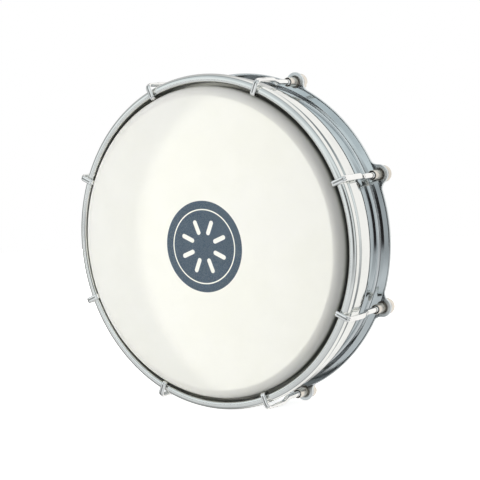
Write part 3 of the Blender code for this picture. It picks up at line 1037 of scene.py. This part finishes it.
@dataclass
class TensionHook:
    """A bent hook: flattened claw over the bead, round rod behind, rolled thread at its end.

    Attributes:
        strap: Section of the claw in front of the bead.
        nose: Section of the claw's tip.
        body: Section along the hoop's band.
        claw_outward: Where the claw bends back over the bead's inner edge.
        tip_outward: Where the tip hangs inside the bead.
        tip_station: How far back the tip reaches.
        strap_station: Middle of the claw in front of the bead.
        body_outward: Middle of the body outside the bead.
        body_station: Station that the body has its own section behind.
        jog_station: Where the body bends in towards the rod's axis.
        jog_depth: Length of that bend.
        shoulder_station: Where the flattened body ends in a shoulder on the rod.
        shoulder_depth: Length of that shoulder.
        stretch: Length between loops on a straight run.
        rear_station: End of the rod.
        thread_station: Start of the thread.
        pitch: Pitch of the thread.
        crest: Radius of the thread's crest.
        root: Radius of the thread's root.
        groove_half_width: Half the width of the groove along the claw.
        groove_span: How far outwards the groove's floor of painted shade starts and ends.
        groove_rear: Station that it lies in front of.
        bend_steps: Facets of each bend.
        turn_steps: Loops for each turn of the thread.
        segments: Facets round the rod.
    """

    strap: Section = Section(0.00136, 0.00072, 2.3, 0.00030)
    nose: Section = Section(0.00130, 0.00058, 2.1)
    body: Section = Section(0.00142, 0.00105, 2.7)
    claw_outward: float = -0.00600
    tip_outward: float = -0.00570
    tip_station: float = 0.0006
    strap_station: float = -0.00305
    body_outward: float = 0.0014
    body_station: float = 0.005
    jog_station: float = 0.0108
    jog_depth: float = 0.0048
    shoulder_station: float = 0.0142
    shoulder_depth: float = 0.0003
    stretch: float = 0.0004
    rear_station: float = 0.0334
    thread_station: float = 0.0234
    pitch: float = 0.0005
    crest: float = 0.0015
    root: float = 0.00122
    groove_half_width: float = 0.0004
    groove_span: tuple[float, float] = (-0.0048, 0.0004)
    groove_rear: float = -0.0022
    bend_steps: int = 8
    turn_steps: int = 8
    segments: int = 24

    def middle_line(self) -> list[tuple[Vector, Vector, Section]]:
        """The bent part of the hook from its tip to the start of its thread.

        Returns:
            Place, heading and section at each point.
        """
        rod = Section(DRUM.rod_radius, DRUM.rod_radius, 2.0)
        corners = [
            HookCorner(self.tip_outward, self.tip_station, 0, self.nose),
            HookCorner(self.claw_outward, self.strap_station, 0.0010, self.strap),
            HookCorner(self.body_outward, self.strap_station, 0.0024, self.strap),
            HookCorner(self.body_outward, self.jog_station, 0.0030, self.body),
            HookCorner(0, self.jog_station + self.jog_depth, 0.0030, rod),
            HookCorner(0, self.thread_station, 0, rod),
        ]
        tip, last = corners[0].spot, corners[-1].spot
        line: list[tuple[Vector, Vector]] = [(tip, (corners[1].spot - tip).normalized())]
        marks = [0]
        for before, here, after in zip(corners, corners[1:], corners[2:]):
            reach, bend = bend_round(before.spot, here.spot, after.spot, here.bend, self.bend_steps)
            self.run_straight(line, here.spot - bend[0][1] * reach, bend[0][1])
            marks.append(len(line) + self.bend_steps // 2)
            line += bend
        heading = (last - corners[-2].spot).normalized()
        self.run_straight(line, last, heading)
        line.append((last, heading))
        marks.append(len(line) - 1)
        lengths = [0.0]
        for (first, _), (second, _) in zip(line, line[1:]):
            lengths.append(lengths[-1] + (second - first).length)
        dressed: list[tuple[Vector, Vector, Section]] = []
        for number, (spot, heading) in enumerate(line):
            leg = max(index for index, mark in enumerate(marks) if mark <= number)
            leg = min(leg, len(marks) - 2)
            if spot.x < self.body_outward and spot.y > self.body_station:
                shoulder = (spot.y - self.shoulder_station) / self.shoulder_depth
                section = self.body.toward(rod, min(1.0, max(0.0, shoulder)))
            else:
                low, high = lengths[marks[leg]], lengths[marks[leg + 1]]
                share = (lengths[number] - low) / (high - low)
                section = corners[leg].section.toward(corners[leg + 1].section, share)
            dressed.append((spot, heading, section))
        return dressed

    def run_straight(self, line: list[tuple[Vector, Vector]], end: Vector, heading: Vector) -> None:
        """Add points along a straight stretch up to, but not at, its end."""
        start = line[-1][0]
        count = max(1, round((end - start).length / self.stretch))
        for step in range(1, count):
            line.append((start.lerp(end, step / count), heading))

    def loop(
        self,
        bm: Shape,
        spot: Vector,
        heading: Vector,
        section: Section,
        radius_at: Optional[Callable[[float], float]] = None,
    ) -> Edges:
        """One closed loop round the middle line.

        Args:
            bm: The hook's bmesh.
            spot: Place on the middle line.
            heading: The line's direction.
            section: The hook's section there.
            radius_at: Radius at an angle, for a threaded stretch.

        Returns:
            The loop's edges.
        """
        corners = bmesh.ops.create_circle(bm, cap_ends=False, segments=self.segments, radius=1)["verts"]
        aside = Vector((heading.y, -heading.x))
        power = 2 / section.fullness
        for corner in corners:
            angle = math.atan2(corner.co.y, corner.co.x)
            cosine, sine = math.cos(angle), math.sin(angle)
            if radius_at is not None:
                wide, thick = cosine * radius_at(angle), sine * radius_at(angle)
            else:
                wide = math.copysign(abs(cosine) ** power, cosine) * section.half_width
                thick = math.copysign(abs(sine) ** power, sine) * section.half_thickness
                if thick > 0:
                    thick -= section.groove * max(0.0, 1 - abs(wide) / self.groove_half_width)
            place = spot + aside * thick
            corner.co = (wide, DRUM.y_at(place.y), place.x)
        return list({edge for corner in corners for edge in corner.link_edges})

    def thread_radius(self, station: float, base: float, height: float, angle: float) -> float:
        """Radius of the thread at a station and angle, a ridge that follows the helix."""
        phase = (station / self.pitch - angle / (2 * math.pi)) % 1.0
        return base + height * (1 - abs(2 * phase - 1))

    def thread_loops(self, bm: Shape) -> list[Edges]:
        """The threaded end: loops whose radius follows the thread's helix."""
        depth = self.rear_station - self.thread_station
        count = round(depth / self.pitch * self.turn_steps)
        round_rod = Section(self.root, self.root, 2.0)
        loops = []
        for number in range(1, count + 1):
            station = self.thread_station + depth * number / count
            run_in = min(1.0, number / (2 * self.turn_steps))
            run_out = min(1.0, (count - number) / self.turn_steps)
            base = DRUM.rod_radius + (self.root - DRUM.rod_radius) * run_in
            height = (self.crest - self.root) * min(run_in, run_out)
            radius_at = partial(self.thread_radius, station, base, height)
            loops.append(self.loop(bm, Vector((0, station)), Vector((0, 1)), round_rod, radius_at))
        return loops

    def shape(self) -> Mesh:
        """One hook about its rod's axis."""
        bm = bmesh.new()
        line = self.middle_line()
        spot, heading, nose = line[0]
        loops = []
        for degrees in (80, 60, 40, 20):
            angle = math.radians(degrees)
            shrink = math.cos(angle)
            small = Section(nose.half_width * shrink, nose.half_thickness * shrink, nose.fullness)
            place = spot - heading * nose.half_thickness * math.sin(angle)
            loops.append(self.loop(bm, place, heading, small))
        loops += [self.loop(bm, place, way, section) for place, way, section in line]
        loops += self.thread_loops(bm)
        for first, second in zip(loops, loops[1:]):
            bmesh.ops.bridge_loops(bm, edges=first + second)
        bmesh.ops.edgeloop_fill(bm, edges=loops[0] + loops[-1])
        mesh = as_mesh(bm, "claw_hook", 50)
        inner, outer = self.groove_span

        def is_groove(face: Face) -> bool:
            """Whether a face lies in the groove of the claw."""
            is_floor = abs(face.center.x) < self.groove_half_width and face.normal.y < -0.5
            is_front = face.center.y < DRUM.y_at(self.groove_rear)
            return is_floor and is_front and inner < face.center.z < outer

        # The groove's floor takes the painted shade.
        refinish(mesh, 1, is_groove)
        return mesh

    def build(self) -> None:
        """Dress the eight hooks."""
        finishes = [CHROME_HOOK.make(), GROOVE_SHADE.make()]
        dress_each("claw_hook", self.shape(), finishes, "hook_{}", "tension_hook_{}")


@dataclass
class TuningNut:
    """A sleeve nut: open mouth, threaded bore, sleeve and slotted round head.

    Attributes:
        reach: How far the sleeve stands in front of the flange.
        bore: Radius of the bore.
        mouth_wall: Thickness of the sleeve at its open mouth.
        mouth_depth: Depth of the mouth.
        pitch: Pitch of the ridges in the bore.
        ridges: Number of ridges behind the mouth.
        head_rim: How far the head stands out from the sleeve.
        head_depth: Depth of the head.
        dome: Rounding of the head's rear edge.
        slot_width: Width of the screwdriver slot.
        slot_depth: Depth of the slot.
        steps: Facets round the nut.
    """

    reach: float = 0.0066
    bore: float = 0.00165
    mouth_wall: float = 0.00035
    mouth_depth: float = 0.0018
    pitch: float = 0.0005
    ridges: int = 5
    head_rim: float = 0.0016
    head_depth: float = 0.0033
    dome: float = 0.0008
    slot_width: float = 0.0012
    slot_depth: float = 0.0011
    steps: int = 48

    def shape(self) -> Mesh:
        """One nut about its own axis."""
        sleeve = DRUM.sleeve_radius
        mouth = sleeve - self.mouth_wall
        front = DRUM.flange_station - self.reach
        mouth_end = front + self.mouth_depth
        head = DRUM.nut_head_station
        rear = head + self.head_depth
        edge = 0.00012
        corners = [Corner(0, head), Corner(self.bore, head)]
        for ridge in range(self.ridges, 0, -1):
            station = mouth_end + ridge * self.pitch
            corners.append(Corner(self.bore, station))
            corners.append(Corner(self.bore + 0.00016, station - self.pitch / 2))
        corners += [
            Corner(self.bore, mouth_end + 0.0001),
            Corner(mouth, mouth_end - 0.0001, 0.00005, 2),
            Corner(mouth, front, edge, 3),
            Corner(sleeve, front, edge, 3),
            Corner(sleeve, head, 0.0001, 2),
            Corner(sleeve + self.head_rim, head, 0.0003, 4),
            Corner(sleeve + self.head_rim, rear, self.dome, 7),
            Corner(0, rear),
        ]
        slot = bmesh.new()
        bar = bmesh.ops.create_cube(slot, size=1)["verts"]
        bmesh.ops.scale(slot, verts=bar, vec=(4 * sleeve, 2 * self.slot_depth, self.slot_width))
        bmesh.ops.translate(slot, verts=bar, vec=(0, DRUM.y_at(rear), 0))
        mesh = cut(turned(corners, self.steps, closed=False), slot, "sleeve_nut")

        def is_bore(face: Face) -> bool:
            """Whether a face lies in the nut's mouth or bore."""
            return from_axis(face.center) < mouth + edge / 2 and face.center.y < DRUM.y_at(head) + MERGE

        # The mouth and bore take the near-black painted shade.
        refinish(mesh, 1, is_bore)
        return mesh

    def build(self) -> None:
        """Dress the eight nuts."""
        finishes = [NICKEL_NUT.make(), BORE_SHADE.make()]
        dress_each("sleeve_nut", self.shape(), finishes, "nut_{}", "tuning_nut_{}")


@dataclass
class NutWasher:
    """A plain washer between a nut's head and its ear.

    Attributes:
        radius: Outside radius.
        hole: Radius of the hole.
        sheet: Thickness.
    """

    radius: float = 0.0041
    hole: float = 0.0026
    sheet: float = 0.0008

    def shape(self) -> Mesh:
        """One washer about its own axis, its edges rounded by the punch."""
        front = DRUM.flange_rear + GAP
        back = front + self.sheet
        corners = [
            Corner(self.hole, front, 0.0001, 3),
            Corner(self.radius, front, 0.00025, 4),
            Corner(self.radius, back, 0.0001, 3),
            Corner(self.hole, back, 0.0001, 3),
        ]
        return as_mesh(turned(corners, 48, closed=True), "plain_washer")

    def build(self) -> None:
        """Dress the eight washers."""
        finishes = [ZINC_WASHER.make()]
        dress_each("plain_washer", self.shape(), finishes, "shell", "nut_washer_{}")


@dataclass(frozen=True)
class Lamp:
    """A soft square lamp that faces the drum and isn't mirrored in it.

    Attributes:
        name: Name of the lamp.
        spot: Its place.
        size: Its width.
        power: Its power in watts.
        colour: Its colour.
    """

    name: str
    spot: tuple[float, float, float]
    size: float
    power: float
    colour: Colour

    def hang(self) -> None:
        """Put the lamp in the scene."""
        light = bpy.data.lights.new(self.name, "AREA")
        light.shape = "SQUARE"
        light.size = self.size
        light.energy = self.power
        light.color = self.colour
        lamp = bpy.data.objects.new(self.name, light)
        bpy.context.scene.collection.objects.link(lamp)
        lamp.location = self.spot
        lamp.rotation_euler = (-Vector(self.spot)).to_track_quat("-Z", "Y").to_euler()
        lamp.visible_glossy = False


@dataclass(frozen=True)
class Screen:
    """A soft-edged dark screen in the room that metal mirrors.

    Attributes:
        across: Its two soft edges as angles from -Y towards +X, in radians.
        up: Its two soft edges in height, as Z of the direction.
        share: How much of the room it hides.
        colour: Its colour.
    """

    across: Four
    up: Four
    share: float
    colour: Colour

    def before(self, bench: NodeBench, room: Socket, angle: Socket, z: Socket) -> Socket:
        """The room with the screen standing in front of it."""
        hidden = bench.product(bench.span(angle, self.across), bench.span(z, self.up), self.share)
        return bench.blend(hidden, room, self.colour)


@dataclass
class Studio:
    """The photograph's camera, a white floor and soft light.

    Attributes:
        azimuth: Camera's angle from -Y towards +X, in degrees.
        elevation: Camera's angle above the drum, in degrees.
        roll: Camera's turn about its own line of sight, in degrees.
        distance: Camera's distance from the point that it looks at.
        look_at: That point.
        focal_length: Lens in millimetres for a 36 mm wide sensor.
        floor_radius: Size of the floor.
        floor_glow: Light that lifts the floor to white where it is seen or mirrored.
        front_stops: Tones of the room in front, from straight down to straight up.
        depth_stops: Tones round the drum from the room in front to the paper behind.
        paper_low: Colour of the paper's left end, low down.
        paper_high: Colour of it high up.
        flag: Colour of the dark strip beside the drum.
        flag_share: How much of the room the strip hides.
        flag_depth: Its two soft edges in depth, as Y of the direction.
        screens: Dark screens beside the camera.
        soft_left: Soft light on the drum from the left.
        soft_right: Soft light on it from the right.
        lamps: The lamps.
    """

    azimuth: float = 34.33
    elevation: float = 6.04
    roll: float = -2.06
    distance: float = 0.62618
    look_at: tuple[float, float, float] = (0.01742, -0.0160, 0.00219)
    focal_length: float = 99.32
    floor_radius: float = 0.75
    floor_glow: float = 0.66
    front_stops: tuple[Four, ...] = (
        (0.00, 0.62, 0.64, 0.65),
        (0.22, 0.66, 0.68, 0.69),
        (0.34, 0.74, 0.76, 0.77),
        (0.44, 0.80, 0.83, 0.84),
        (0.50, 0.84, 0.88, 0.89),
        (0.72, 0.84, 0.90, 0.91),
        (0.82, 0.66, 0.72, 0.74),
        (0.92, 0.56, 0.61, 0.63),
        (1.00, 0.70, 0.74, 0.76),
    )
    depth_stops: tuple[Four, ...] = (
        (0.00, 1.00, 1.00, 1.00),
        (0.34, 1.00, 1.00, 1.00),
        (0.37, 0.40, 0.41, 0.42),
        (0.41, 0.36, 0.37, 0.38),
        (0.45, 0.84, 0.85, 0.85),
        (0.56, 1.00, 0.99, 0.97),
        (1.00, 1.00, 0.99, 0.97),
    )
    paper_low: Colour = (0.30, 0.31, 0.31)
    paper_high: Colour = (0.56, 0.57, 0.58)
    flag: Colour = (0.14, 0.145, 0.15)
    flag_share: float = 0.75
    flag_depth: Four = (-0.20, -0.10, 0.06, 0.14)
    screens: tuple[Screen, ...] = (
        Screen((0.05, 0.30, 0.85, 1.15), (-0.42, -0.20, 0.30, 0.50), 0.6, (0.22, 0.23, 0.24)),
        Screen((0.38, 0.46, 0.66, 0.78), (-0.20, -0.12, 0.28, 0.36), 1.0, (0.02, 0.018, 0.018)),
    )
    soft_left: Colour = (0.56, 0.56, 0.56)
    soft_right: Colour = (0.52, 0.525, 0.52)
    lamps: tuple[Lamp, ...] = (
        Lamp("front_left_lamp", (-0.62, -0.70, 0.08), 0.3, 5.1, (1.0, 0.99, 0.96)),
        Lamp("rear_left_lamp", (-0.8, 0.78, 0.0), 0.14, 7.2, (1.0, 0.985, 0.91)),
    )

    def add_camera(self) -> None:
        """Stand the camera where the photograph was taken."""
        azimuth, elevation, roll = (math.radians(v) for v in (self.azimuth, self.elevation, self.roll))
        level = math.cos(elevation)
        back = Vector((math.sin(azimuth) * level, -math.cos(azimuth) * level, math.sin(elevation)))
        right = Vector((0, 0, 1)).cross(back).normalized()
        up = back.cross(right)
        turned_right = right * math.cos(roll) + up * math.sin(roll)
        turned_up = up * math.cos(roll) - right * math.sin(roll)
        lens = bpy.data.cameras.new("camera")
        lens.sensor_width = 36
        lens.lens = self.focal_length
        camera = bpy.data.objects.new("camera", lens)
        bpy.context.scene.collection.objects.link(camera)
        matrix = Matrix((turned_right, turned_up, back)).transposed().to_4x4()
        matrix.translation = Vector(self.look_at) + back * self.distance
        camera.matrix_world = matrix
        bpy.context.scene.camera = camera

    def add_floor(self) -> None:
        """Lay a white floor under the hoop, bright to the camera and shaded under the drum."""
        bm = bmesh.new()
        bmesh.ops.create_circle(bm, cap_ends=True, segments=96, radius=self.floor_radius)
        bmesh.ops.translate(bm, verts=bm.verts, vec=(0, 0, -DRUM.hoop_radius - 0.00005))
        mesh = bpy.data.meshes.new("floor")
        bm.to_mesh(mesh)
        bm.free()
        floor = bpy.data.objects.new("floor", mesh)
        bpy.context.scene.collection.objects.link(floor)
        floor.visible_glossy = False
        material, bench, shader = new_finish("white_floor")
        rays = bench.add("ShaderNodeLightPath", {})
        seen = bench.math("MAXIMUM", rays["Is Camera Ray"], rays["Is Glossy Ray"])
        looks = {
            "Base Color": (0.92, 0.92, 0.92, 1),
            "Roughness": 0.9,
            "Specular IOR Level": 0.0,
            "Emission Color": (*WHITE, 1),
            "Emission Strength": bench.product(seen, self.floor_glow),
        }
        bench.feed(shader, looks)
        mesh.materials.append(material)

    def mirrored(self, bench: NodeBench, x: Socket, y: Socket, z: Socket) -> Socket:
        """What metal mirrors: a room in front, paper behind and dark screens beside the camera.

        Args:
            bench: Where the nodes go.
            x: X of the direction.
            y: Its Y.
            z: Its Z.

        Returns:
            The colour in that direction.
        """
        front = bench.ramp(bench.unit(z), self.front_stops)
        paper_end = bench.blend(bench.band(z, -0.10, 0.10), self.paper_low, self.paper_high)
        away = bench.math("ABSOLUTE", bench.math("ADD", z, 0.1))
        shifted = bench.math("ADD", x, bench.band(away, 0.20, 0.45, 0.0, 0.25))
        paper = bench.blend(bench.band(shifted, -0.25, 0.05), paper_end, WHITE)
        room = bench.blend(bench.band(y, -0.16, 0.05), front, paper)
        room = bench.blend(1.0, room, bench.ramp(bench.unit(y), self.depth_stops), "MULTIPLY")
        level = bench.band(bench.math("ABSOLUTE", z), 0.15, 0.75, self.flag_share, 0.0)
        room = bench.blend(bench.product(level, bench.span(y, self.flag_depth)), room, self.flag)
        angle = bench.math("ARCTAN2", x, bench.product(y, -1.0))
        for screen in self.screens:
            room = screen.before(bench, room, angle, z)
        return room

    def add_world(self) -> None:
        """Surround the drum with plain white, soft light on it and a room for metal to mirror."""
        world = bpy.data.worlds.new("studio")
        world.use_nodes = True
        bpy.context.scene.world = world
        bench = NodeBench(world.node_tree)
        x, y, z = bench.split(bench.add("ShaderNodeTexCoord", {})["Generated"])
        rays = bench.add("ShaderNodeLightPath", {})
        plain = bench.math("MAXIMUM", rays["Is Camera Ray"], rays["Is Transmission Ray"])
        soft = bench.blend(bench.band(x, -0.8, 0.8), self.soft_left, self.soft_right)
        lit = bench.blend(plain, soft, WHITE)
        colour = bench.blend(rays["Is Glossy Ray"], lit, self.mirrored(bench, x, y, z))
        bench.feed(world.node_tree.nodes["Background"], {"Color": colour, "Strength": 1.0})

    def build(self) -> None:
        """Set the whole studio up."""
        self.add_camera()
        self.add_floor()
        self.add_world()
        for lamp in self.lamps:
            lamp.hang()
        bpy.context.scene.view_settings.view_transform = "Standard"


def main() -> None:
    """Build every piece, then the studio, and note the sizes."""
    logging.basicConfig(level=logging.INFO, format="%(name)s: %(message)s")
    for assembly in (Shell(), CounterHoop(), Head(), TensionHook(), TuningNut(), NutWasher()):
        assembly.build()
    Studio().build()


if __name__ == "__main__":
    main()
